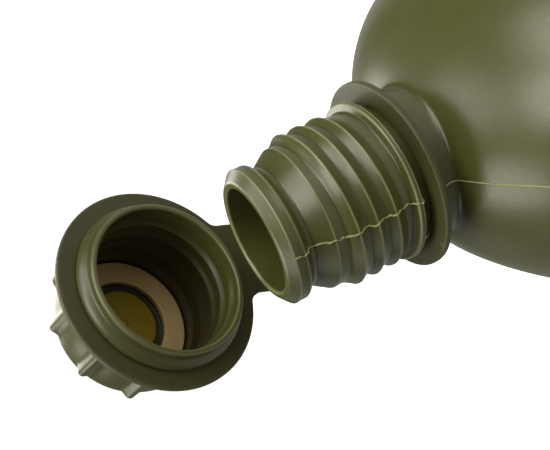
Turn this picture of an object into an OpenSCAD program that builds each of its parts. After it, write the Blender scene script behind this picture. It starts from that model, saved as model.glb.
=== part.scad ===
// One-litre field canteen: blow-moulded bottle, two-ring strap, screw cap with gasket.
// Millimetres, +Z up along the neck, origin at the centre of the base.
// The bottle stands on its base; the cap is off and held open by the strap.
// +X is the wide direction of the bottle, +Y the full front face, -Y the hollowed back.

/* [Bottle body] */
// height of the mouth rim above the base
mouth_height = 198; // [180:1:215]
// half the overall width of the body
body_half_width = 59.4; // [50:0.2:66]
// half the overall thickness of the body
body_half_depth = 42; // [36:0.2:46]
// how far the middle of the body sits behind the neck axis
body_setback = 0.8; // [0:0.1:3]
// depth below the mouth of the crown of the shoulder
crown_depth = 37.45; // [36.5:0.05:39]
// height of the rounded shoulder
shoulder_height = 35.1; // [28:0.1:45]
// fullness of the shoulder curve, 2 is an ellipse
shoulder_power = 1.61; // [1.4:0.01:2.4]
// depth of the hollow in the back face
back_hollow = 9; // [5:0.5:10]
// radius of the hollow in the back face
back_hollow_radius = 110; // [95:1:150]
// radius of the edge round the base
base_round = 11; // [6:0.5:16]
// height trimmed off the rounded base to make it stand flat
base_trim = 0.3; // [0.2:0.05:0.6]
// thickness of the moulded wall
wall = 1.9; // [1.4:0.1:2.6]

/* [Neck] */
// radius of the drinking bore at the mouth
mouth_bore_radius = 12; // [11:0.1:13]
// straight length of the drinking bore
mouth_bore_length = 9; // [6:0.5:12]
// radius of the neck inside, below the bore
neck_inside_radius = 14.6; // [13.5:0.1:15]
// radius of the lip band round the mouth
lip_radius = 15.6; // [15:0.1:16.2]
// radius of the plain band above the thread
land_radius = 16.45; // [16:0.05:17]
// radius at the root of the neck thread
thread_root_radius = 17; // [16.6:0.1:17.4]
// radius over the neck thread
thread_crest_radius = 18.25; // [17.8:0.05:18.6]
// pitch of the thread
thread_pitch = 4.52; // [4:0.02:5]
// number of turns of thread on the neck
thread_turns = 2.75; // [2:0.25:3]
// depth below the mouth of the start of the thread
thread_start = 13.65; // [13:0.05:17]
// radius of the bead that holds the strap ring on the neck
bead_radius = 18.85; // [18:0.05:19.5]

/* [Strap] */
// thickness of the strap
strap_thickness = 1.4; // [1:0.1:1.6]
// outside radius of the strap ring on the neck
neck_ring_radius = 22.1; // [20:0.1:24]
// depth of the top of the neck ring below the mouth
neck_ring_depth = 33.3; // [33:0.1:34.6]
// width of the strap between the rings
web_width = 20.5; // [16:0.5:24]
// outside radius of the strap ring on the cap
cap_ring_radius = 26; // [24:0.1:28]
// clearance between a ring and the part it turns on
ring_clearance = 0.3; // [0.2:0.05:0.5]
// direction the strap leaves the neck, round the neck axis
strap_azimuth = 218.36; // [200:0.5:240]
// bend of the strap at its middle fold
mid_angle = 45; // [35:1:60]

/* [Cap position] */
// distance of the cap centre from the neck axis
cap_reach = 31.47; // [28:0.5:40]
// sideways offset of the cap centre
cap_side = -7.21; // [-9:0.5:0]
// height of the cap centre above the mouth
cap_rise = 16.73; // [10:0.5:25]
// angle through which the cap is folded back
cap_lean = 117.11; // [90:1:125]

/* [Cap] */
// radius of the mouth of the cap
cap_bore_radius = 18.4; // [18.3:0.05:19]
// inside radius over the cap thread
cap_thread_radius = 17.6; // [17.4:0.05:18.2]
// number of turns of thread in the cap
cap_turns = 3; // [2:0.25:3.5]
// radius of the cap skirt
skirt_radius = 20.3; // [20:0.1:21]
// radius of the seat the strap ring turns on
seat_radius = 20.6; // [20.4:0.1:21]
// radius of the bead over the strap ring
cap_bead_radius = 21.8; // [21.5:0.1:22.5]
// height of the cap rim above the strap ring
rim_height = 5.4; // [4:0.1:7]
// radius of the cap rim outside
rim_radius = 20; // [19.6:0.1:20.5]
// depth of the cap floor below the strap ring
floor_depth = 22; // [20:0.5:25]
// overall depth of the cap below the strap ring
cap_depth = 23.9; // [22:0.1:27]
// number of grip ribs
rib_count = 10; // [6:1:16]
// radius of a grip rib
rib_radius = 1.5; // [1:0.1:2]

/* [Gasket] */
// outside radius of the gasket
gasket_outer = 17; // [16.5:0.1:17.2]
// inside radius of the gasket
gasket_inner = 11.2; // [10:0.1:12]
// thickness of the gasket
gasket_thickness = 1.6; // [1:0.1:2.4]

/* [Hidden] */
$fn = 96;

olive = [0.34, 0.33, 0.2];
olive_strap = [0.31, 0.3, 0.18];
olive_cap = [0.36, 0.35, 0.22];
gasket_grey = [0.5, 0.44, 0.38];

body_top = mouth_height - crown_depth;
back_y = -body_setback - body_half_depth;

// strap geometry in the plane of the strap: x outward, z up from the mouth
half_t = strap_thickness / 2;
hinge_set = 2 * half_t + 0.3;
root_x = neck_ring_radius + 1.4;
root_z = -neck_ring_depth - half_t;
ring_end = cap_ring_radius + 1.4;
tip_x = cap_reach - ring_end * cos(cap_lean) + half_t * sin(cap_lean);
tip_z = cap_rise - ring_end * sin(cap_lean) - half_t * cos(cap_lean);
arc_a = sin(mid_angle);
arc_b = sin(cap_lean) - sin(mid_angle);
arc_c = 1 - cos(mid_angle);
arc_d = cos(mid_angle) - cos(cap_lean);
arc_det = arc_a * arc_d - arc_b * arc_c;
lower_bend = ((tip_x - root_x) * arc_d - (tip_z - root_z) * arc_b) / arc_det;
upper_bend = ((tip_z - root_z) * arc_a - (tip_x - root_x) * arc_c) / arc_det;
mid_x = root_x + lower_bend * sin(mid_angle);
mid_z = root_z + lower_bend * (1 - cos(mid_angle));
mid_y = cap_side * (mid_z - root_z) / (tip_z - root_z);
shear = cap_side / (tip_z - root_z);

// half section of the body, inset by the wall thickness: [radius, height]
function body_section(inset) =
  let (under = inset > 0 ? 0 : base_trim, rad = body_half_depth - inset, high = shoulder_height - inset, q = base_round - inset, top = body_top - inset)
  concat(
    [[0, inset - under], [rad - q, inset - under]],
    [for (i = [1:4]) [rad - q + q * sin(18 * i), inset - under + q * (1 - cos(18 * i))]],
    [for (i = [0:12]) let (a = 7.5 * i)
      [rad * pow(cos(a), 2 / shoulder_power), top - high + high * pow(sin(a), 2 / shoulder_power)]]);

module body_block(inset) {
  translate([0, -body_setback, 0])
  scale([(body_half_width - inset) / (body_half_depth - inset), 1, 1])
  rotate_extrude()
  polygon(body_section(inset));
}

module hollow_cut(extra) {
  translate([0, back_y + back_hollow - back_hollow_radius, -1])
  cylinder(r = back_hollow_radius + extra, h = mouth_height);
}

// height at which the neck and the body meet
neck_foot = mouth_height - 37;

// outside of the neck as [radius, depth below the mouth]
neck_profile = [
  [mouth_bore_radius, 0],
  [12.4, -0.1],
  [13, -0.1],
  [13.4, 0],
  [13.75, 0.2],
  [lip_radius - 0.1, 1.75],
  [lip_radius, 1.9],
  [lip_radius, 4.1],
  [15.45, 4.5],
  [15, 4.95],
  [14.4, 5.5],
  [14, 6.2],
  [13.85, 6.8],
  [14.05, 7.2],
  [16.3, 10.6],
  [land_radius, 10.85],
  [land_radius, 13.2],
  [thread_root_radius, 14.6],
  [thread_root_radius, 28.7],
  [17.5, 29.15],
  [18.2, 29.3],
  [bead_radius - 0.2, 29.5],
  [bead_radius, 30.1],
  [bead_radius, 30.45],
  [bead_radius - 0.2, 30.75],
  [bead_radius - 0.5, 30.95],
  [bead_radius - 1.2, 31.15],
  [thread_root_radius - 0.4, 31.5],
  [thread_root_radius - 0.4, 35.2],
  [thread_root_radius + 0.1, 35.5],
  [thread_root_radius + 0.1, 37],
  [mouth_bore_radius, 37]];

module neck_outside() {
  translate([0, 0, mouth_height])
  rotate([0, 0, 5])
  rotate_extrude()
  polygon([for (p = neck_profile) [p[0], -p[1]]]);
}

module neck_passage() {
  translate([0, 0, mouth_height])
  rotate_extrude()
  polygon([
    [0, 2],
    [mouth_bore_radius, 2],
    [mouth_bore_radius, -mouth_bore_length],
    [neck_inside_radius, -mouth_bore_length - 4],
    [neck_inside_radius, -50],
    [0, -50]]);
}

// screw thread ridge: side is +1 for a ridge standing outward and -1 for one standing inward
module thread_ridge(turns, root, height, side, section, fade) {
  steps = 24 * turns;
  n = len(section);
  points = [for (i = [0:steps]) for (p = section)
    let (a = 15 * i, k = min(1, i / fade, (steps - i) / fade),
      r = root + side * (p[1] > 0 ? p[1] * height * k - 0.15 * (1 - k) : -0.35))
    [r * cos(a), r * sin(a), p[0] + thread_pitch * a / 360]];
  walls = [for (i = [0:steps - 1]) for (j = [0:n - 1])
    let (a = i * n + j, b = i * n + (j + 1) % n)
    each (side > 0 ? [[a, b, b + n], [a, b + n, a + n]] : [[a, b + n, b], [a, a + n, b + n]])];
  first = [for (j = [0:n - 1]) j];
  last = [for (j = [0:n - 1]) steps * n + j];
  flip = [for (j = [n - 1:-1:0]) j];
  flip_last = [for (j = [n - 1:-1:0]) steps * n + j];
  polyhedron(points = points, faces = concat(walls, side > 0 ? [flip, last] : [first, flip_last]));
}

// section of the neck thread: [height along the neck, share of the full height of the ridge]
neck_thread = [[-2.5, 0], [-1.7, 0.3], [-0.9, 0.68], [0, 1], [0.5, 0.74], [1.1, 0.38], [1.85, 0]];

// section of the cap thread
cap_thread = [[-1.1, 0], [-0.4, 0.9], [0, 1], [0.6, 0.9], [1.5, 0]];

// blow-moulded body with its shoulder, its hollow back and the foot of the neck
module bottle_body() {
  color(olive)
  difference() {
    union() {
      difference() {
        body_block(0);
        hollow_cut(0);
      }
      translate([0, 0, neck_foot - 12])
      cylinder(r = thread_root_radius + 0.1, h = 12);
    }
    difference() {
      body_block(wall);
      hollow_cut(wall);
    }
    translate([0, 0, neck_foot - 14])
    cylinder(r = neck_inside_radius, h = 20);
    translate([-80, -80, -20])
    cube([160, 160, 20]);
  }
}

// threaded neck with its drinking lip and the bead over the strap ring
module bottle_neck() {
  color(olive)
  difference() {
    union() {
      neck_outside();
      translate([0, 0, mouth_height - thread_start - thread_pitch * thread_turns])
      rotate([0, 0, 150 - 360 * thread_turns])
      thread_ridge(thread_turns, thread_root_radius, thread_crest_radius - thread_root_radius, 1, neck_thread, 3);
    }
    neck_passage();
  }
}

// plate bent to a cylinder about the y axis: centre, bend radius, start and end angle
module bent_plate(cx, cz, bend, from, to) {
  translate([cx, 0, cz])
  rotate([90, 0, 0])
  rotate([0, 0, from])
  rotate_extrude(angle = to - from)
  translate([bend - half_t, -24])
  square([strap_thickness, 48]);
}

module edge_round(x, y, z, width) {
  translate([x, y - width / 2 + 0.3, z])
  rotate([-90, 0, 0])
  cylinder(r = half_t - 0.02, h = width - 0.6);
}

// prism that keeps the strap between its two slanting long edges
module web_trim(width) {
  rotate([90, 0, 90])
  linear_extrude(height = 80)
  polygon([
    [shear * (-6) - width / 2, root_z - 6],
    [shear * (-6) + width / 2, root_z - 6],
    [shear * 60 + width / 2, root_z + 60],
    [shear * 60 - width / 2, root_z + 60]]);
}

module in_strap_frame() {
  translate([0, 0, mouth_height])
  rotate([0, 0, strap_azimuth])
  children();
}

module in_cap_frame() {
  in_strap_frame()
  translate([cap_reach, cap_side, cap_rise])
  rotate([0, -cap_lean, 0])
  rotate([0, 0, 180])
  children();
}

module flat_ring(outer, hole, end) {
  linear_extrude(height = strap_thickness)
  difference() {
    union() {
      circle(r = outer);
      polygon([
        [outer * 0.8, -web_width / 2 - 3.2],
        [outer * 0.9, -web_width / 2 - 1.3],
        [end - hinge_set, -web_width / 2],
        [end - hinge_set, web_width / 2],
        [outer * 0.9, web_width / 2 + 1.3],
        [outer * 0.8, web_width / 2 + 3.2]]);
    }
    circle(r = hole);
  }
  edge_round(end - hinge_set, 0, half_t, web_width);
}

module strap_neck_ring() {
  color(olive_strap)
  in_strap_frame()
  translate([0, 0, -neck_ring_depth - strap_thickness])
  flat_ring(neck_ring_radius, thread_root_radius - 0.4 + ring_clearance, root_x);
}

module strap_web_lower() {
  color(olive_strap)
  in_strap_frame() {
    intersection() {
      bent_plate(root_x, root_z + lower_bend, lower_bend, -90, mid_angle - 90 - 57.3 * hinge_set / lower_bend);
      web_trim(web_width);
    }
    edge_round(root_x, 0, root_z, web_width);
  }
}

module strap_web_upper() {
  color(olive_strap)
  in_strap_frame() {
    intersection() {
      bent_plate(mid_x - upper_bend * sin(mid_angle), mid_z + upper_bend * cos(mid_angle), upper_bend, mid_angle - 90, cap_lean - 90);
      web_trim(web_width);
    }
    edge_round(mid_x, mid_y, mid_z, web_width);
    edge_round(tip_x, cap_side, tip_z, web_width);
  }
}

module strap_cap_ring() {
  color(olive_strap)
  in_cap_frame()
  translate([0, 0, -strap_thickness])
  flat_ring(cap_ring_radius, seat_radius + ring_clearance, ring_end);
}

module cap_body() {
  rotate_extrude()
  polygon([
    [0, -cap_depth],
    [16.2, -cap_depth],
    [17, -cap_depth + 0.3],
    [17.7, -cap_depth + 0.9],
    [18.4, -cap_depth + 1.9],
    [19.1, -cap_depth + 3.4],
    [19.7, -cap_depth + 5.2],
    [20.1, -cap_depth + 7.4],
    [skirt_radius, -cap_depth + 10],
    [skirt_radius, -2.4],
    [seat_radius, -1.9],
    [seat_radius, 0.25],
    [cap_bead_radius - 0.3, 0.3],
    [cap_bead_radius, 0.7],
    [cap_bead_radius - 0.05, 1.4],
    [cap_bead_radius - 0.4, 2],
    [cap_bead_radius - 1.1, 2.5],
    [rim_radius, 2.8],
    [rim_radius - 0.1, rim_height - 0.4],
    [rim_radius - 0.4, rim_height],
    [cap_bore_radius + 0.3, rim_height],
    [cap_bore_radius, rim_height - 0.4],
    [cap_bore_radius, -14.5],
    [17.3, -16.5],
    [17.3, -floor_depth],
    [gasket_inner, -floor_depth],
    [gasket_inner, -floor_depth - 0.8],
    [9.4, -floor_depth - 0.8],
    [9.2, -floor_depth + 0.4],
    [0, -floor_depth + 0.4]]);
}

module cap_rib() {
  translate([skirt_radius, 0, -cap_depth + 6.2])
  cylinder(r = rib_radius, h = cap_depth - 8.1);
  translate([skirt_radius, 0, -cap_depth + 6.2])
  sphere(r = rib_radius);
}

module cap() {
  color(olive_cap)
  in_cap_frame() {
    difference() {
      union() {
        cap_body();
        for (i = [0:rib_count - 1]) rotate([0, 0, 24 + 360 / rib_count * i]) cap_rib();
      }
      translate([0, 0, -14]) cylinder(r = cap_bore_radius, h = 10);
      translate([0, 0, -floor_depth + 0.5]) cylinder(r = 17.3, h = 8);
    }
    translate([0, 0, -floor_depth + 0.3]) cylinder(r = 0.9, h = 0.6);
    translate([0, 0, 2.4 - thread_pitch * cap_turns])
    thread_ridge(cap_turns, cap_bore_radius, cap_bore_radius - cap_thread_radius, -1, cap_thread, 3);
  }
}

module cap_gasket() {
  color(gasket_grey)
  in_cap_frame()
  translate([0, 0, -floor_depth])
  rotate_extrude()
  polygon([
    [gasket_inner, 0.02],
    [gasket_outer, 0.02],
    [gasket_outer, gasket_thickness - 0.2],
    [gasket_outer - 0.2, gasket_thickness],
    [gasket_inner + 0.2, gasket_thickness],
    [gasket_inner, gasket_thickness - 0.2]]);
}

bottle_body();
bottle_neck();
strap_neck_ring();
strap_web_lower();
strap_web_upper();
strap_cap_ring();
cap();
cap_gasket();
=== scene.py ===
import math

import bpy
import numpy as np
from mathutils import Matrix, Vector


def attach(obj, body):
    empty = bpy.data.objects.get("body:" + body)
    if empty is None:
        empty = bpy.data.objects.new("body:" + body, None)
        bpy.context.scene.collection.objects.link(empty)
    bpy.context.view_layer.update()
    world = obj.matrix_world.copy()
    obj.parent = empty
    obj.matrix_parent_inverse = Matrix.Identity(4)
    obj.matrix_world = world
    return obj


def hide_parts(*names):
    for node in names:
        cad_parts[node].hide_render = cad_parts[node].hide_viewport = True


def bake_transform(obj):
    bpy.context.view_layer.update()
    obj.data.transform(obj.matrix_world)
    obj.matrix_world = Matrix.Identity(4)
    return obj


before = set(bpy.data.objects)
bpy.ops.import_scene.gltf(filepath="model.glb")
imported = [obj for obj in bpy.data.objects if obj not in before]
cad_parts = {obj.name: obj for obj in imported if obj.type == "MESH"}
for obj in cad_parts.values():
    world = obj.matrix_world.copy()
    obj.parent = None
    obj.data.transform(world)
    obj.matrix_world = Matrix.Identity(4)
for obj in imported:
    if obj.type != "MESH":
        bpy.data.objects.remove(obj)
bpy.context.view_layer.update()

# ---------------------------------------------------------------- sizes, in millimetres, as in the CAD

# height of the mouth above the base
MOUTH = 198.0
# body: half its width, half its depth, and how far its middle sits behind the neck's axis
HALF_W, HALF_D, SET_BACK = 59.4, 42.0, 0.8
# shoulder: height of its crown, its own height, and the fullness of its curve, where 2 is an ellipse
CROWN, SHOULDER, POWER = MOUTH - 37.45, 35.1, 1.61
# hollow in the back: its depth and its radius
HOLLOW, HOLLOW_R = 9.0, 110.0
BASE_ROUND, WALL = 11.0, 1.9
# neck thread: pitch, depth of its start below the mouth, turns, angle of its start, radius of its crest
PITCH, THREAD_TOP, THREAD_TURNS, THREAD_FROM = 4.52, 13.65, 2.75, 150.0
CREST_R = 18.25
# neck: radius inside, radius of its foot, fillet between foot and shoulder, depth of the foot's top
NECK_INSIDE_R, FOOT_R, FILLET, FOOT_DEPTH = 14.6, 17.1, 1.2, 35.8

# strap: its direction round the neck, its slope at the cap and at its middle, half its thickness
AZ = math.radians(218.36)
LEAN, MID = math.radians(117.11), math.radians(45.0)
HALF_T = 0.7
# rings of the strap: outside and hole, on the neck and on the cap
NECK_RING_R, NECK_HOLE_R = 22.1, 16.9
CAP_RING_R, CAP_HOLE_R = 26.0, 20.9
# centre of the cap in the strap's frame, and the distance from it to the bend by the cap
CAP_AT = (31.47, -7.21, 16.73)
CAP_END = 27.4
# the two ends of the web's middle line, x outward and z up from the mouth
ROOT_X, ROOT_Z = 23.5, -34.0
TIP_X = CAP_AT[0] - CAP_END * math.cos(LEAN) + HALF_T * math.sin(LEAN)
TIP_Z = CAP_AT[2] - CAP_END * math.sin(LEAN) - HALF_T * math.cos(LEAN)
# bend radii of the web's two halves, so that they join the two ends
ARC_A, ARC_B = math.sin(MID), math.sin(LEAN) - math.sin(MID)
ARC_C, ARC_D = 1 - math.cos(MID), math.cos(MID) - math.cos(LEAN)
ARC_DET = ARC_A * ARC_D - ARC_B * ARC_C
BEND_1 = ((TIP_X - ROOT_X) * ARC_D - (TIP_Z - ROOT_Z) * ARC_B) / ARC_DET
BEND_2 = ((TIP_Z - ROOT_Z) * ARC_A - (TIP_X - ROOT_X) * ARC_C) / ARC_DET
SHEAR = CAP_AT[1] / (TIP_Z - ROOT_Z)


def strap_to_row(p):
    """Points from the strap's own frame (x outward, z up from the mouth) to the row frame, mm."""
    p = np.asarray(p, float)
    c, s = math.cos(AZ), math.sin(AZ)
    return np.stack(
        [p[..., 0] * c - p[..., 1] * s, p[..., 0] * s + p[..., 1] * c, p[..., 2] + MOUTH],
        -1,
    )


def cap_to_row(p):
    """Points from the cap's frame (z out of its mouth, x towards the strap) to the row frame, mm."""
    p = np.asarray(p, float)
    c, s = math.cos(LEAN), math.sin(LEAN)
    q = np.stack(
        [
            CAP_AT[0] - c * p[..., 0] - s * p[..., 2],
            CAP_AT[1] - p[..., 1],
            CAP_AT[2] - s * p[..., 0] + c * p[..., 2],
        ],
        -1,
    )
    return strap_to_row(q)


# ---------------------------------------------------------------- mesh helpers


def mesh_object(name, verts_mm, faces, material_index=None, materials=()):
    mesh = bpy.data.meshes.new(name)
    mesh.from_pydata((np.asarray(verts_mm, float) * 0.001).tolist(), [], faces)
    for m in materials:
        mesh.materials.append(m)
    mesh.polygons.foreach_set("use_smooth", [True] * len(mesh.polygons))
    if material_index is not None:
        mesh.polygons.foreach_set("material_index", material_index)
    mesh.update()
    obj = bpy.data.objects.new(name, mesh)
    bpy.context.scene.collection.objects.link(obj)
    return obj


def lathe_faces(rows, cols, closed_rows=False):
    """Faces between neighbouring rows of a turned skin, closed round each row."""
    faces = []
    for i in range(rows if closed_rows else rows - 1):
        a, b = i * cols, ((i + 1) % rows) * cols
        for j in range(cols):
            k = (j + 1) % cols
            faces.append((a + j, b + j, b + k, a + k))
    return faces


def set_bend(obj, grid, inner):
    """Stores two values on each point of a turned skin: its bend, which the materials turn into painted shade
    in creases and a painted highlight on edges, and how deep inside it lies (0 to 1), which darkens the
    inside as painted shade.

    The bend is the turn per millimetre along the profile, above 0 on edges and below 0 in creases.
    """
    step = np.diff(grid, axis=0)
    length = np.linalg.norm(step, axis=-1)
    unit = step / np.maximum(length, 1e-6)[..., None]
    side = np.roll(grid, -1, axis=1) - np.roll(grid, 1, axis=1)
    side /= np.maximum(np.linalg.norm(side, axis=-1), 1e-6)[..., None]
    turn = np.zeros(grid.shape[:2])
    span = np.full(grid.shape[:2], 1.0)
    turn[1:-1] = (np.cross(unit[:-1], unit[1:]) * side[1:-1]).sum(-1)
    span[1:-1] = (length[:-1] + length[1:]) / 2
    for _ in range(2):
        turn[1:-1] = (turn[:-2] + 2 * turn[1:-1] + turn[2:]) / 4
        span[1:-1] = (span[:-2] + 2 * span[1:-1] + span[2:]) / 4
    bend = turn / np.maximum(span, 0.1)
    for _ in range(3):
        bend = (np.roll(bend, 1, axis=1) + 2 * bend + np.roll(bend, -1, axis=1)) / 4
    for name, values in (("bend", bend), ("inner", np.broadcast_to(inner[:, None], bend.shape))):
        layer = obj.data.attributes.new(name, "FLOAT", "POINT")
        layer.data.foreach_set("value", values.reshape(-1).astype(np.float32))


def dense(points, step):
    """The polyline with extra points so that no step is longer than the given one."""
    out = [points[0]]
    for p, q in zip(points[:-1], points[1:]):
        n = max(1, math.ceil(math.dist(p, q) / step))
        out += [tuple(p[k] + (q[k] - p[k]) * i / n for k in range(2)) for i in range(1, n + 1)]
    return out


def smooth_profile(points, step, rounds=2):
    """The polyline resampled and softened a little; a corner that is given twice stays crisp."""
    parts, part = [], [points[0]]
    for p, q in zip(points[:-1], points[1:]):
        if p == q:
            parts.append(part)
            part = [p]
        else:
            part.append(q)
    parts.append(part)
    out = []
    for part in parts:
        pts = np.array(dense(part, step), float)
        for _ in range(rounds):
            pts[1:-1] = (pts[:-2] + 2 * pts[1:-1] + pts[2:]) / 4
        out.append(pts if not out else pts[1:])
    return np.concatenate(out)


# ---------------------------------------------------------------- bottle


def rho_of(x, y, w, d):
    return np.sqrt((x / w) ** 2 + ((y + SET_BACK) / d) ** 2)


def shoulder_z(rho, inset):
    high = SHOULDER - inset
    return CROWN - inset - high + high * np.maximum(0, 1 - rho**POWER) ** (1 / POWER)


def hollow(x, y, inset, soft):
    """Pushes points of the back out of the hollow, with a rounded edge."""
    r = HOLLOW_R + inset
    yb = -SET_BACK - HALF_D + HOLLOW - HOLLOW_R + np.sqrt(np.maximum(1, r * r - x * x))
    h = np.maximum(soft - np.abs(y - yb), 0) / soft
    return np.where(y < 5, np.maximum(y, yb) + h * h * soft / 4, y)


# outside of the neck as radius and depth below the mouth; a corner given twice stays crisp
NECK = [
    (12.0, 9.0), (12.0, 0.5), (12.04, 0.2), (12.2, 0.0), (12.5, -0.12), (13.0, -0.12), (13.4, 0.0),
    (13.7, 0.18), (13.75, 0.23), (13.75, 0.23), (15.45, 1.68), (15.62, 1.8), (15.66, 1.88),
    (15.66, 1.88), (15.6, 2.0), (15.55, 3.0), (15.6, 3.9), (15.6, 4.1), (15.45, 4.45), (15.0, 4.9),
    (14.4, 5.45), (14.0, 6.15), (13.85, 6.7), (13.9, 7.0), (14.05, 7.2), (16.28, 10.55),
    (16.45, 10.85), (16.45, 10.85), (16.43, 11.1), (16.43, 13.2), (17.0, 14.6), (17.0, 28.75),
    (17.1, 28.95), (17.4, 29.12), (18.1, 29.28), (18.55, 29.42), (18.75, 29.6), (18.75, 29.6),
    (18.72, 30.0), (18.8, 30.4), (18.82, 30.5), (18.82, 30.5), (18.65, 30.75), (18.3, 30.95),
    (17.6, 31.15), (16.8, 31.35), (16.6, 31.6), (16.6, 35.2), (17.1, 35.5),
]


def thread_height(phi_deg, s, top, turns, hand_phi, flat, steep, fade):
    """Share of the full height of a right-hand thread: a rising flank, a crisp crest and a falling flank."""
    out = np.zeros(np.broadcast(phi_deg, s).shape)
    for k in range(-6, 3):
        big = phi_deg + 360 * k
        crest = top + PITCH * (hand_phi - big) / 360
        d = s - crest
        up = np.clip(1 + d / flat, 0, 1) ** 1.15
        down = np.clip(1 - d / steep, 0, 1) ** 1.25
        f = np.where(d < 0, up, down)
        ends = np.clip((hand_phi - big) / fade, 0, 1) * np.clip((big - hand_phi + 360 * turns) / fade, 0, 1)
        ends = ends * ends * (3 - 2 * ends)
        out = np.maximum(out, f * ends)
    return out


COLS = 256


def body_rows(inset, neck_r, rows, soft):
    """Rows of the shoulder from the neck outward to the widest line, then the wall and the base."""
    w, d = HALF_W - inset, HALF_D - inset
    phi = np.arange(COLS) * 2 * np.pi / COLS
    p0 = np.stack([neck_r * np.cos(phi), neck_r * np.sin(phi)], -1)
    p1 = np.stack([w * np.cos(phi), d * np.sin(phi) - SET_BACK], -1)
    rho0 = rho_of(p0[:, 0], p0[:, 1], w, d)
    a0 = np.arccos(rho0 ** (POWER / 2))
    out = []
    for i in range(rows + 1):
        want = np.cos(a0 * (1 - i / rows)) ** (2 / POWER)
        lo, hi = np.zeros(COLS), np.ones(COLS)
        for _ in range(40):
            t = (lo + hi) / 2
            p = p0 + (p1 - p0) * t[:, None]
            low = rho_of(p[:, 0], p[:, 1], w, d) < want
            lo, hi = np.where(low, t, lo), np.where(low, hi, t)
        p = p0 + (p1 - p0) * ((lo + hi) / 2)[:, None]
        out.append(np.stack([p[:, 0], p[:, 1], shoulder_z(np.minimum(want, 1), inset)], -1))
    q = BASE_ROUND - inset
    wall_top = CROWN - SHOULDER
    for z in np.linspace(wall_top, BASE_ROUND, 25)[1:]:
        out.append(np.stack([p1[:, 0], p1[:, 1], np.full(COLS, z)], -1))
    for k in range(1, 11):
        a = math.pi / 2 * k / 10
        f = (d - q + q * math.cos(a)) / d
        z = inset + q * (1 - math.sin(a))
        out.append(np.stack([p1[:, 0] * f, (p1[:, 1] + SET_BACK) * f - SET_BACK, np.full(COLS, z)], -1))
    last = out[-1]
    for f in (0.85, 0.65, 0.4, 0.15, 0.002):
        flat = [last[:, 0] * f, (last[:, 1] + SET_BACK) * f - SET_BACK, np.full(COLS, inset)]
        out.append(np.stack(flat, -1))
    rows_out = []
    for r in out:
        r = r.copy()
        r[:, 1] = hollow(r[:, 0], r[:, 1], inset, soft)
        rows_out.append(r)
    return rows_out


def ring_row(radius, z):
    """One row round the neck's axis; radius and height may differ from column to column."""
    phi = np.arange(COLS) * 2 * np.pi / COLS
    return np.stack([radius * np.cos(phi), radius * np.sin(phi), np.broadcast_to(z, phi.shape)], -1)


def bottle_rows():
    """Rows of the skin from inside the base up to the mouth and down the outside, and the first outer row."""
    deg = np.degrees(np.arange(COLS) * 2 * np.pi / COLS)
    deg = np.where(deg > THREAD_FROM, deg - 360, deg)
    rows = body_rows(WALL, NECK_INSIDE_R, 12, 6.0)[::-1]
    crease_in = rows[-1][:, 2]
    straight_end = MOUTH - 13.0
    for f in (0.25, 0.5, 0.75, 1.0):
        rows.append(ring_row(NECK_INSIDE_R, crease_in + (straight_end - crease_in) * f))
    for r, s in ((13.9, 11.9), (13.0, 10.5), (12.2, 9.4)):
        rows.append(ring_row(r, MOUTH - s))
    first_outer = len(rows)
    for r, s in smooth_profile(NECK, 0.16, 2):
        rad = np.full(COLS, r)
        if 11.5 < s < 29 and r > 15:
            h = thread_height(deg, s, THREAD_TOP, THREAD_TURNS, THREAD_FROM, 1.95, 2.55, 40.0)
            rad = rad + (CREST_R - r) * h * (CREST_R > r)
        rows.append(ring_row(rad, MOUTH - s))
    outer = body_rows(0.0, FOOT_R + FILLET, 44, 7.0)
    crease = body_rows(0.0, FOOT_R, 1, 7.0)[0][:, 2]
    foot_top, foot_end = MOUTH - FOOT_DEPTH, crease + FILLET
    for f in np.linspace(0, 1, 16)[1:-1]:
        rows.append(ring_row(FOOT_R, foot_top + (foot_end - foot_top) * f))
    start = outer[0][:, 2]
    for k in range(1, 8):
        a = k / 8
        z = foot_end * (1 - a) ** 2 + 2 * a * (1 - a) * (crease + 0.05) + start * a * a
        rows.append(ring_row(FOOT_R + FILLET * a**2, z))
    return np.array(rows + outer), first_outer


def ribbon(name, line, normals, sides, widths, heights, material):
    """A thin raised ridge of uneven width along a line that lies on a surface."""
    n = len(line)
    verts, faces = [], []
    shape = ((-1.0, -0.5), (-0.75, 0.45), (-0.2, 0.95), (0.35, 1.0), (0.8, 0.5), (1.0, -0.5))
    for i in range(n):
        for u, v in shape:
            verts.append(line[i] + sides[i] * u * widths[i] / 2 + normals[i] * v * heights[i])
    m = len(shape)
    for i in range(n - 1):
        for j in range(m - 1):
            a = i * m + j
            faces.append((a, a + m, a + m + 1, a + 1))
    faces.append(tuple(range(m)))
    faces.append(tuple(range((n - 1) * m, n * m))[::-1])
    return mesh_object(name, verts, faces, materials=(material,))


# ---------------------------------------------------------------- materials


def srgb(r, g, b):
    def one(c):
        c = c / 255
        return c / 12.92 if c <= 0.04045 else ((c + 0.055) / 1.055) ** 2.4

    return (one(r), one(g), one(b), 1.0)


def add_node(tree, kind, inputs):
    """Adds a shader node; each input takes a plain value, or a link where it is given a socket."""
    node = tree.nodes.new(kind)
    for key, value in inputs.items():
        if isinstance(value, bpy.types.NodeSocket):
            tree.links.new(value, node.inputs[key])
        else:
            node.inputs[key].default_value = value
    return node


def noise(tree, place, scale, detail, roughness=0.5):
    inputs = {"Vector": place, "Scale": scale, "Detail": detail, "Roughness": roughness}
    return add_node(tree, "ShaderNodeTexNoise", inputs).outputs["Fac"]


def spread(tree, value, span, onto=(0.0, 1.0)):
    """The value's span stretched onto another one, and held at both ends."""
    inputs = {"Value": value, "From Min": span[0], "From Max": span[1], "To Min": onto[0], "To Max": onto[1]}
    return add_node(tree, "ShaderNodeMapRange", inputs).outputs["Result"]


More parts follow.
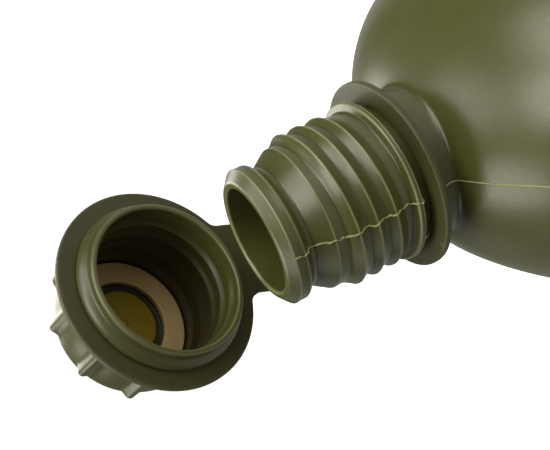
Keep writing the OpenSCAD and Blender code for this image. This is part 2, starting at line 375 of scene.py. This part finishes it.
def layer(tree, blend, share, under, over):
    """One colour laid over another, by a share from 0 to 1."""
    node = add_node(tree, "ShaderNodeMixRGB", {"Fac": share, "Color1": under, "Color2": over})
    node.blend_type = blend
    return node.outputs["Color"]


def calculate(tree, operation, first, second):
    node = add_node(tree, "ShaderNodeMath", {0: first, 1: second})
    node.operation = operation
    return node.outputs["Value"]


def stored(tree, name):
    """A value that set_bend keeps on the mesh's points."""
    node = tree.nodes.new("ShaderNodeAttribute")
    node.attribute_name = name
    return node.outputs["Fac"]


# painted shade: grey multiplied into creases, where shade falls
CREASE_PAINTED_SHADE = (0.55, 0.55, 0.55, 1)
# painted shade multiplied over the inside of the mouth and the cap, darker deeper in
INNER_PAINTED_SHADE = (0.42, 0.37, 0.3, 1)


def painted_shade_and_highlight(tree, colour, patches, edge, sheet):
    """Painted shade in creases and a painted highlight on edges, stronger in some patches than in others, and
    painted shade darkening the inside.
    """
    if sheet:
        bend = tree.nodes.new("ShaderNodeNewGeometry").outputs["Pointiness"]
        crease, ridge = (0.495, 0.45), (0.508, 0.56)
    else:
        bend = stored(tree, "bend")
        crease, ridge = (-0.25, -1.3), (0.4, 1.5)
    strength = spread(tree, patches, (0.35, 0.7), (0.35, 0.95))
    # creases get painted shade; ridges get a painted highlight in the edge colour
    for span, blend, tint in ((crease, "MULTIPLY", CREASE_PAINTED_SHADE), (ridge, "MIX", edge)):
        share = calculate(tree, "MULTIPLY", spread(tree, bend, span), strength)
        colour = layer(tree, blend, share, colour, tint)
    # painted shade darkening the inside
    if not sheet:
        colour = layer(tree, "MULTIPLY", stored(tree, "inner"), colour, INNER_PAINTED_SHADE)
    return colour


def plastic(
    name, dark, light, rough=0.45, rough_span=0.08, grain=900.0, bump=0.12, sss=0.0,
    streak=None, specular=0.5, edge=None, sheet=False,
):
    """Moulded plastic: slow colour drift, fine grain, uneven gloss, and, if an edge colour is given, painted
    shade in creases and inside and a painted highlight on edges.
    """
    mat = bpy.data.materials.new(name)
    mat.use_nodes = True
    tree = mat.node_tree
    tree.nodes.clear()
    place = tree.nodes.new("ShaderNodeTexCoord").outputs["Object"]
    slow = noise(tree, place, 38.0, 4.0, 0.6)
    fine = noise(tree, place, grain, 2.0)
    colour = layer(tree, "MIX", spread(tree, slow, (0.3, 0.7)), dark, light)
    # the edge colour is a painted highlight laid on crests, beads and rims
    if edge:
        colour = painted_shade_and_highlight(tree, colour, slow, edge, sheet)
    height = fine
    if streak:
        stretched = add_node(tree, "ShaderNodeMapping", {"Vector": place, "Scale": streak}).outputs["Vector"]
        height = calculate(tree, "ADD", fine, noise(tree, stretched, 1.0, 3.0))
    bumps = add_node(tree, "ShaderNodeBump", {"Strength": bump, "Distance": 0.0002, "Height": height})
    gloss = spread(tree, fine, (0.0, 1.0), (rough - rough_span, rough + rough_span))
    inputs = {"Base Color": colour, "Roughness": gloss, "Normal": bumps.outputs["Normal"]}
    shader = add_node(tree, "ShaderNodeBsdfPrincipled", inputs)
    shader.inputs["Specular IOR Level"].default_value = specular
    if sss:
        shader.inputs["Subsurface Weight"].default_value = sss
        shader.inputs["Subsurface Radius"].default_value = (1.0, 0.9, 0.25)
        shader.inputs["Subsurface Scale"].default_value = 0.0012
    out = tree.nodes.new("ShaderNodeOutputMaterial")
    tree.links.new(shader.outputs["BSDF"], out.inputs["Surface"])
    return mat


# edge colours: painted highlights on the crests of threads, beads, rims and strap edges
OLIVE = plastic(
    "bottle_plastic", srgb(70, 71, 30), srgb(82, 82, 39), rough=0.32, rough_span=0.06, sss=0.04,
    specular=0.75, edge=srgb(150, 150, 104),
)
OLIVE_CAP = plastic(
    "cap_plastic", srgb(70, 70, 31), srgb(81, 80, 39), rough=0.36, rough_span=0.06, sss=0.04,
    specular=0.7, edge=srgb(112, 112, 70),
)
OLIVE_STRAP = plastic(
    "strap_plastic", srgb(60, 58, 26), srgb(71, 68, 33), rough=0.5, bump=0.25, grain=1400.0,
    edge=srgb(96, 95, 54), sheet=True,
)
FLASH = plastic("flash_plastic", srgb(130, 129, 80), srgb(154, 152, 100), rough=0.45, sss=0.1)
GASKET = plastic(
    "gasket_rubber", srgb(196, 154, 84), srgb(220, 198, 150), rough=0.36, sss=0.1, streak=(60, 60, 400),
)
DISC = plastic("cap_disc_plastic", srgb(140, 117, 14), srgb(156, 132, 22), rough=0.36, sss=0.15)

# ---------------------------------------------------------------- build the bottle

rows, first_outer = bottle_rows()
R, C = rows.shape[:2]
bottle = mesh_object("bottle_moulded", rows.reshape(-1, 3), lathe_faces(R, C), materials=(OLIVE,))
# how deep inside the mouth each row lies, for the painted shade there
depth_in = np.clip((MOUTH - rows[:, 0, 2] - 1.5) / 14, 0, 1)
set_bend(bottle, rows, np.where(np.arange(R) < first_outer, depth_in, 0))
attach(bottle, "bottle")
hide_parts("bottle_body", "bottle_neck")


def surface_line(col, lo, hi):
    """Points, normals and side directions down one column of the bottle's outer skin."""
    pts = rows[lo:hi, col]
    side = rows[lo:hi, (col + 1) % C] - rows[lo:hi, col - 1]
    side /= np.linalg.norm(side, axis=1)[:, None]
    n = np.cross(np.gradient(pts, axis=0), side)
    n /= np.linalg.norm(n, axis=1)[:, None]
    return pts, n, side


rng = np.random.default_rng(7)


def flash_line(name, col, lo, hi, wide, tall, wander):
    """A ridge of flash down one column, uneven in its course, its width and its height."""
    pts, n, side = surface_line(col, lo, hi)
    count = len(pts)
    steps = np.arange(count)
    knots = rng.normal(size=count // 5 + 3)
    knot_at = np.arange(len(knots)) * 5
    jag = np.interp(steps, knot_at, knots) * wander
    jag2 = rng.normal(size=count) * wander * 0.25
    width = wide * (1 + 0.35 * np.interp(steps, knot_at, rng.normal(size=len(knots))))
    height = tall * (1 + 0.3 * rng.normal(size=count))
    taper = np.minimum(1, np.minimum(steps, steps[::-1]) / 3)
    line = pts + side * (jag + jag2)[:, None]
    width = np.clip(width, wide * 0.4, wide * 1.8) * taper
    height = np.clip(height, tall * 0.4, tall * 1.7) * taper
    piece = ribbon(name, line, n, side, width, height, FLASH)
    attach(piece, "bottle")


# ---------------------------------------------------------------- cap

# the cap turned about its own axis, as radius and height above the strap ring
CAP_PROFILE_OUT = [
    (18.4, -0.2), (18.4, 4.7), (18.48, 5.12), (18.75, 5.38), (19.1, 5.4), (19.5, 5.38),
    (19.85, 5.2), (19.93, 4.8), (19.95, 3.5), (20.05, 3.1), (20.45, 2.85), (21.0, 2.4),
    (21.55, 1.75), (21.78, 1.1), (21.7, 0.5), (21.5, 0.22), (20.9, 0.1), (20.6, 0.0), (20.6, -1.9),
    (20.3, -2.4), (20.3, -13.9), (20.1, -16.5), (19.7, -18.7), (19.1, -20.5), (18.4, -22.0),
    (17.7, -23.0), (17.0, -23.6), (16.2, -23.9), (10.0, -23.9), (0.03, -23.9),
]
CAP_PROFILE_IN = [
    (0.03, -21.1), (0.7, -21.12), (0.95, -21.3), (1.05, -21.6), (8.9, -21.6), (9.15, -21.75),
    (9.4, -22.8), (11.2, -22.8), (11.2, -22.0), (17.3, -22.0), (17.3, -16.5), (18.4, -14.5),
]

# grip ribs: how many, and the angle of the first and between two, in degrees
RIBS, RIB_FROM = 10, 24
RIB_STEP = 360 / RIBS
# radius of a rib, radius of the skirt they stand on, and where their rounded lower ends begin
RIB_RADIUS, SKIRT_RADIUS, RIB_FOOT = 1.5, 20.3, -17.7
# inside of the cap: radius of its bore, foot of the bore's wall, height of its thread, radius of its disc
CAP_BORE_R, CAP_WALL_FROM, CAP_THREAD_TALL, DISC_R = 18.4, -14.5, 0.8, 9.2


def cap_cols():
    """Angles of the cap's columns in degrees, closer together at the ribs."""
    offs = [0, 0.8, 1.6, 2.4, 3.2, 3.8, 4.4, 5.2, 7.0, 9.5, 12.2]
    local = sorted({round(s * o, 3) for o in offs for s in (-1, 1)} | {-15.0, 15.0, 18.0})
    return np.array([RIB_FROM + RIB_STEP * i + o for i in range(RIBS) for o in local])


def build_cap():
    deg = cap_cols()
    phi = np.radians(deg)
    one_turn = np.where(deg > 360, deg - 360, deg)
    from_rib = ((deg - RIB_FROM + RIB_STEP / 2) % RIB_STEP) - RIB_STEP / 2
    off_rib = np.abs(SKIRT_RADIUS * np.sin(np.radians(from_rib)))
    prof_in = smooth_profile(CAP_PROFILE_IN, 0.25, 1)
    wall = [(CAP_BORE_R, t) for t in np.arange(CAP_WALL_FROM, -0.2, 0.2)][1:]
    prof_out = smooth_profile(CAP_PROFILE_OUT, 0.25, 2)
    prof = np.concatenate([prof_in, wall, prof_out])
    n_rim = len(prof_in) + len(wall)
    out = []
    for i, (r, t) in enumerate(prof):
        rad = np.full(len(phi), r)
        if -15.5 < t < 4 and i < n_rim + 25 and 18 < r < 18.5:
            rad = rad - CAP_THREAD_TALL * thread_height(one_turn, -t, -2.4, 3.0, 0.0, 1.5, 1.1, 30.0)
        if i > n_rim and -20.5 < t < -1.9 and r > 19:
            sunk = min(1.0, max(0.0, RIB_FOOT - t) / RIB_RADIUS)
            proud = (SKIRT_RADIUS + RIB_RADIUS - r) * math.sqrt(1 - sunk**2)
            rad = rad + proud * np.exp(-(off_rib / RIB_RADIUS) ** 2.4)
        out.append(np.stack([rad * np.cos(phi), rad * np.sin(phi), np.full(len(phi), t)], -1))
    out = np.array(out)
    n_rows, n_cols = out.shape[:2]
    faces = lathe_faces(n_rows, n_cols)
    disc_rows = sum(1 for p in prof_in if p[0] <= DISC_R)
    slots = [1 if f[0] // n_cols < disc_rows else 0 for f in faces]
    obj = mesh_object("cap_moulded", cap_to_row(out.reshape(-1, 3)), faces, slots, (OLIVE_CAP, DISC))
    # how deep inside the cap each row lies, for the painted shade there
    depth_in = np.clip((0.5 - prof[:, 1]) / 11, 0, 1)
    set_bend(obj, out, np.where(np.arange(n_rows) < n_rim, depth_in, 0))
    return obj


cap = build_cap()
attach(cap, "cap")
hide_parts("cap")


def build_gasket():
    prof = smooth_profile(
        [(14.0, -21.98), (16.9, -21.98), (17.0, -21.8), (17.0, -20.7), (16.8, -20.45), (14.0, -20.4),
         (11.5, -20.45), (11.25, -20.65), (11.22, -21.8), (11.3, -21.98), (14.0, -21.98)], 0.3, 1,
    )[:-1]
    cols = 160
    phi = np.arange(cols) * 2 * np.pi / cols
    pts = np.array([np.stack([r * np.cos(phi), r * np.sin(phi), np.full(cols, t)], -1) for r, t in prof])
    faces = lathe_faces(len(prof), cols, closed_rows=True)
    return mesh_object("gasket_disc", cap_to_row(pts.reshape(-1, 3)), faces, materials=(GASKET,))


gasket = build_gasket()
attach(gasket, "cap")
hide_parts("cap_gasket")

# ---------------------------------------------------------------- strap


def path_point(u):
    """Middle line of the web: u = 0 at the root bend, 1 at the middle bend, 2 at the bend by the cap."""
    if u <= 1:
        a = MID * u
        return ROOT_X + BEND_1 * math.sin(a), ROOT_Z + BEND_1 * (1 - math.cos(a)), a
    a = MID + (LEAN - MID) * (u - 1)
    x = ROOT_X + BEND_1 * math.sin(MID) + BEND_2 * (math.sin(a) - math.sin(MID))
    z = ROOT_Z + BEND_1 * (1 - math.cos(MID)) + BEND_2 * (math.cos(MID) - math.cos(a))
    return x, z, a


# the web: half its width, points across it, rows that a ring's tab adds, and degrees that its fillets take
WEB_HALF = 10.25
ACROSS = 21
TAB_ROWS = 12
FILLET_SPAN = 7.5


def ring_outline(ring_r, end, deg):
    """Radius of a ring's outer edge at an angle from its web, with filleted shoulders at the web."""
    a = abs(deg)
    edge = math.degrees(math.atan2(WEB_HALF, end))
    if a <= edge:
        return end / math.cos(math.radians(a))
    corner = math.hypot(WEB_HALF, end)
    t = min(1.0, (a - edge) / FILLET_SPAN)
    return ring_r + (corner - ring_r) * (1 - t) ** 2.6


def ring_sheet(ring_r, hole, end):
    """Flat ring with its short tab: verts (x, y), faces, and the indices of the tab's end row."""
    edge = math.degrees(math.atan2(WEB_HALF, end))
    tab = [math.degrees(math.atan2(-WEB_HALF + 2 * WEB_HALF * i / (ACROSS - 1), end)) for i in range(ACROSS)]
    side = [edge + d for d in (0.4, 0.9, 1.5, 2.2, 3.0, 4.0, 5.2, 6.5, FILLET_SPAN)]
    rest_of = list(np.linspace(edge + FILLET_SPAN, 360 - edge - FILLET_SPAN, 110)[1:-1])
    angles = tab + side + rest_of + [360 - s for s in reversed(side)]
    n = len(angles)
    levels = 7
    verts = []
    for k in range(levels):
        f = k / (levels - 1)
        for a in angles:
            b = a if a <= 180 else a - 360
            r = hole + (ring_outline(ring_r, end, b) - hole) * f
            verts.append((r * math.cos(math.radians(a)), r * math.sin(math.radians(a))))
    faces = [
        (k * n + j, (k + 1) * n + j, (k + 1) * n + (j + 1) % n, k * n + (j + 1) % n)
        for k in range(levels - 1)
        for j in range(n)
    ]
    tab_row = [(levels - 1) * n + j for j in range(ACROSS)]
    return verts, faces, tab_row


def web_row(u):
    x, z, a = path_point(u)
    y0 = SHEAR * (z - ROOT_Z)
    ys = np.linspace(-WEB_HALF, WEB_HALF, ACROSS)
    return [(x, y0 + y, z) for y in ys]


def strap_piece(name, verts, faces):
    """Gives a sheet its thickness and rounded edges."""
    obj = mesh_object(name, verts, faces, materials=(OLIVE_STRAP,))
    thick = obj.modifiers.new("thick", "SOLIDIFY")
    thick.thickness = 2 * HALF_T * 0.001
    thick.offset = 0.0
    thick.use_even_offset = True
    soft = obj.modifiers.new("edge", "BEVEL")
    soft.width = 0.00032
    soft.segments = 3
    soft.limit_method = "ANGLE"
    soft.angle_limit = math.radians(50)
    dg = bpy.context.evaluated_depsgraph_get()
    mesh = bpy.data.meshes.new_from_object(obj.evaluated_get(dg))
    obj.modifiers.clear()
    obj.data = mesh
    mesh.polygons.foreach_set("use_smooth", [True] * len(mesh.polygons))
    return obj


def extend_tab(pts, faces, tab, first, last, turned=False):
    """Carries a ring's tab on along the web, from one place on the web's middle line to another."""
    prev = tab
    for i in range(1, TAB_ROWS + 1):
        row = strap_to_row(web_row(first + (last - first) * i / TAB_ROWS))
        cur = [len(pts) + j for j in range(ACROSS)]
        pts += [tuple(p) for p in (row[::-1] if turned else row)]
        faces += [(prev[j], cur[j], cur[j + 1], prev[j + 1]) for j in range(ACROSS - 1)]
        prev = cur


def build_neck_loop():
    verts, faces, tab = ring_sheet(NECK_RING_R, NECK_HOLE_R, ROOT_X)
    pts = [tuple(p) for p in strap_to_row([(x, y, ROOT_Z) for x, y in verts])]
    extend_tab(pts, faces, tab, 0.0, 0.5)
    return strap_piece("strap_neck_loop", pts, faces)


def build_web():
    pts, faces = [], []
    steps = 22
    for i in range(steps + 1):
        pts += [tuple(p) for p in strap_to_row(web_row(0.5 + i / steps))]
    for i in range(steps):
        for j in range(ACROSS - 1):
            a = i * ACROSS + j
            faces.append((a, a + ACROSS, a + ACROSS + 1, a + 1))
    return strap_piece("strap_web", pts, faces)


def build_cap_loop():
    verts, faces, tab = ring_sheet(CAP_RING_R, CAP_HOLE_R, CAP_END)
    pts = [tuple(p) for p in cap_to_row([(x, y, -HALF_T) for x, y in verts])]
    extend_tab(pts, faces, tab, 2.0, 1.5, turned=True)
    return strap_piece("strap_cap_loop", pts, faces)


neck_loop = build_neck_loop()
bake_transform(neck_loop)
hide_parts("strap_neck_ring")
web = build_web()
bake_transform(web)
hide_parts("strap_web_lower", "strap_web_upper")
cap_loop = build_cap_loop()
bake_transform(cap_loop)
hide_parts("strap_cap_ring")

# ---------------------------------------------------------------- flash along the mould's parting line

depth = MOUTH - rows[:, 0, 2]


def outer_row(deeper, wider=0.0):
    """The first outer row that is deeper below the mouth and wider than the given sizes."""
    return next(i for i in range(first_outer, R) if depth[i] > deeper and rows[i, 0, 0] > wider)


lip_row, neck_end, body_from = outer_row(1.7, 15.3), outer_row(31.3, 15.5), outer_row(36.2)
body_end = R - 8
flash_line("bottle_flash_neck", 0, lip_row, neck_end, 0.42, 0.3, 0.22)
flash_line("bottle_flash_body", 0, body_from, body_end, 0.4, 0.16, 0.12)
flash_line("bottle_flash_neck_far", C // 2, lip_row, neck_end, 0.42, 0.28, 0.2)
flash_line("bottle_flash_body_far", C // 2, body_from, body_end, 0.4, 0.16, 0.12)

# ---------------------------------------------------------------- camera, floor, light

# direction from the object to the camera, and the camera's turn about that line, in degrees
VIEW_AZIMUTH, VIEW_ELEVATION, VIEW_TURN = 25.644, 17.434, -116.524
# place of the camera in metres, and its lens and sensor in millimetres
CAMERA_AT = Vector((0.15839, 0.07725, 0.24772))
LENS, SENSOR = 56.95, 36.0


def view_axes(azimuth, elevation, turn):
    """The camera's directions to its right, upward, and back towards itself."""
    az, el = math.radians(azimuth), math.radians(elevation)
    toward = Vector((math.cos(el) * math.cos(az), math.cos(el) * math.sin(az), math.sin(el)))
    level = Vector((-math.sin(az), math.cos(az), 0))
    turned = Matrix.Rotation(math.radians(turn), 3, toward)
    return turned @ level, turned @ toward.cross(level), toward


RIGHT, UP, TOWARD = view_axes(VIEW_AZIMUTH, VIEW_ELEVATION, VIEW_TURN)

cam_data = bpy.data.cameras.new("camera")
cam_data.lens = LENS
cam_data.sensor_width = SENSOR
cam_data.clip_start = 0.01
cam_data.clip_end = 50
cam = bpy.data.objects.new("camera", cam_data)
bpy.context.scene.collection.objects.link(cam)
basis = Matrix((RIGHT, UP, TOWARD)).transposed()
cam.matrix_world = Matrix.Translation(CAMERA_AT) @ basis.to_4x4()
bpy.context.scene.camera = cam


def white_to_camera(tree, shader, socket, seen):
    """Adds plain white to a surface or to the world for rays that come straight from the camera."""
    path = tree.nodes.new("ShaderNodeLightPath")
    strength = calculate(tree, "MULTIPLY", path.outputs["Is Camera Ray"], seen)
    kind = "ShaderNodeEmission" if socket.node.type == "OUTPUT_MATERIAL" else "ShaderNodeBackground"
    glow = add_node(tree, kind, {"Color": (1, 1, 1, 1), "Strength": strength})
    both = add_node(tree, "ShaderNodeAddShader", {0: shader, 1: glow.outputs[0]})
    tree.links.new(both.outputs[0], socket)


floor_mesh = bpy.data.meshes.new("floor")
floor_mesh.from_pydata([(-6, -6, 0), (6, -6, 0), (6, 6, 0), (-6, 6, 0)], [], [(0, 1, 2, 3)])
floor = bpy.data.objects.new("floor", floor_mesh)
bpy.context.scene.collection.objects.link(floor)
floor_mat = bpy.data.materials.new("floor_white")
floor_mat.use_nodes = True
floor_shader = floor_mat.node_tree.nodes["Principled BSDF"]
floor_shader.inputs["Base Color"].default_value = (0.5, 0.5, 0.5, 1)
floor_shader.inputs["Roughness"].default_value = 0.9
floor_out = floor_mat.node_tree.nodes["Material Output"].inputs["Surface"]
white_to_camera(floor_mat.node_tree, floor_shader.outputs["BSDF"], floor_out, 0.98)
floor_mesh.materials.append(floor_mat)

world = bpy.data.worlds.new("studio")
bpy.context.scene.world = world
world.use_nodes = True
sky = world.node_tree.nodes["Background"]
sky.inputs["Color"].default_value = (1, 1, 1, 1)
sky.inputs["Strength"].default_value = 0.12
world_out = world.node_tree.nodes["World Output"].inputs["Surface"]
white_to_camera(world.node_tree, sky.outputs["Background"], world_out, 1.0)

# the lights stand at one distance round a point near the neck, in metres
LIGHT_AIM = Vector((-0.01, -0.005, 0.185))
LIGHT_DISTANCE = 0.9
LAMP_SIZE = 0.55
LAMP_COLOUR = (1.0, 0.99, 0.9)
# each soft light: its direction as parts of right, up and towards the camera, and its power in watts
LIGHTS = {
    "soft_left": (-1, 0, 0, 2.0),
    "soft_low": (0, -1, 0, 0.45),
    "soft_left_front": (-1, 0, 1, 4.1),
    "soft_high_front": (0, 1, 1, 2.0),
    "soft_left_low": (-1, -1, 0, 2.8),
    "soft_left_high_front": (-1, 1, 1, 3.0),
    "soft_left_back": (-1, 0, -1, 3.0),
    "soft_low_back": (0, -1, -1, 0.15),
}
for name, (r, u, t, power) in LIGHTS.items():
    direction = (RIGHT * r + UP * u + TOWARD * t).normalized()
    lamp_data = bpy.data.lights.new(name, "AREA")
    lamp_data.shape = "DISK"
    lamp_data.size = LAMP_SIZE
    lamp_data.energy = power
    lamp_data.color = LAMP_COLOUR
    lamp = bpy.data.objects.new(name, lamp_data)
    bpy.context.scene.collection.objects.link(lamp)
    lamp.location = LIGHT_AIM + direction * LIGHT_DISTANCE
    lamp.rotation_mode = "QUATERNION"
    lamp.rotation_quaternion = (-direction).to_track_quat("-Z", "Y")
    lamp.visible_camera = False

bpy.context.scene.view_settings.view_transform = "Standard"
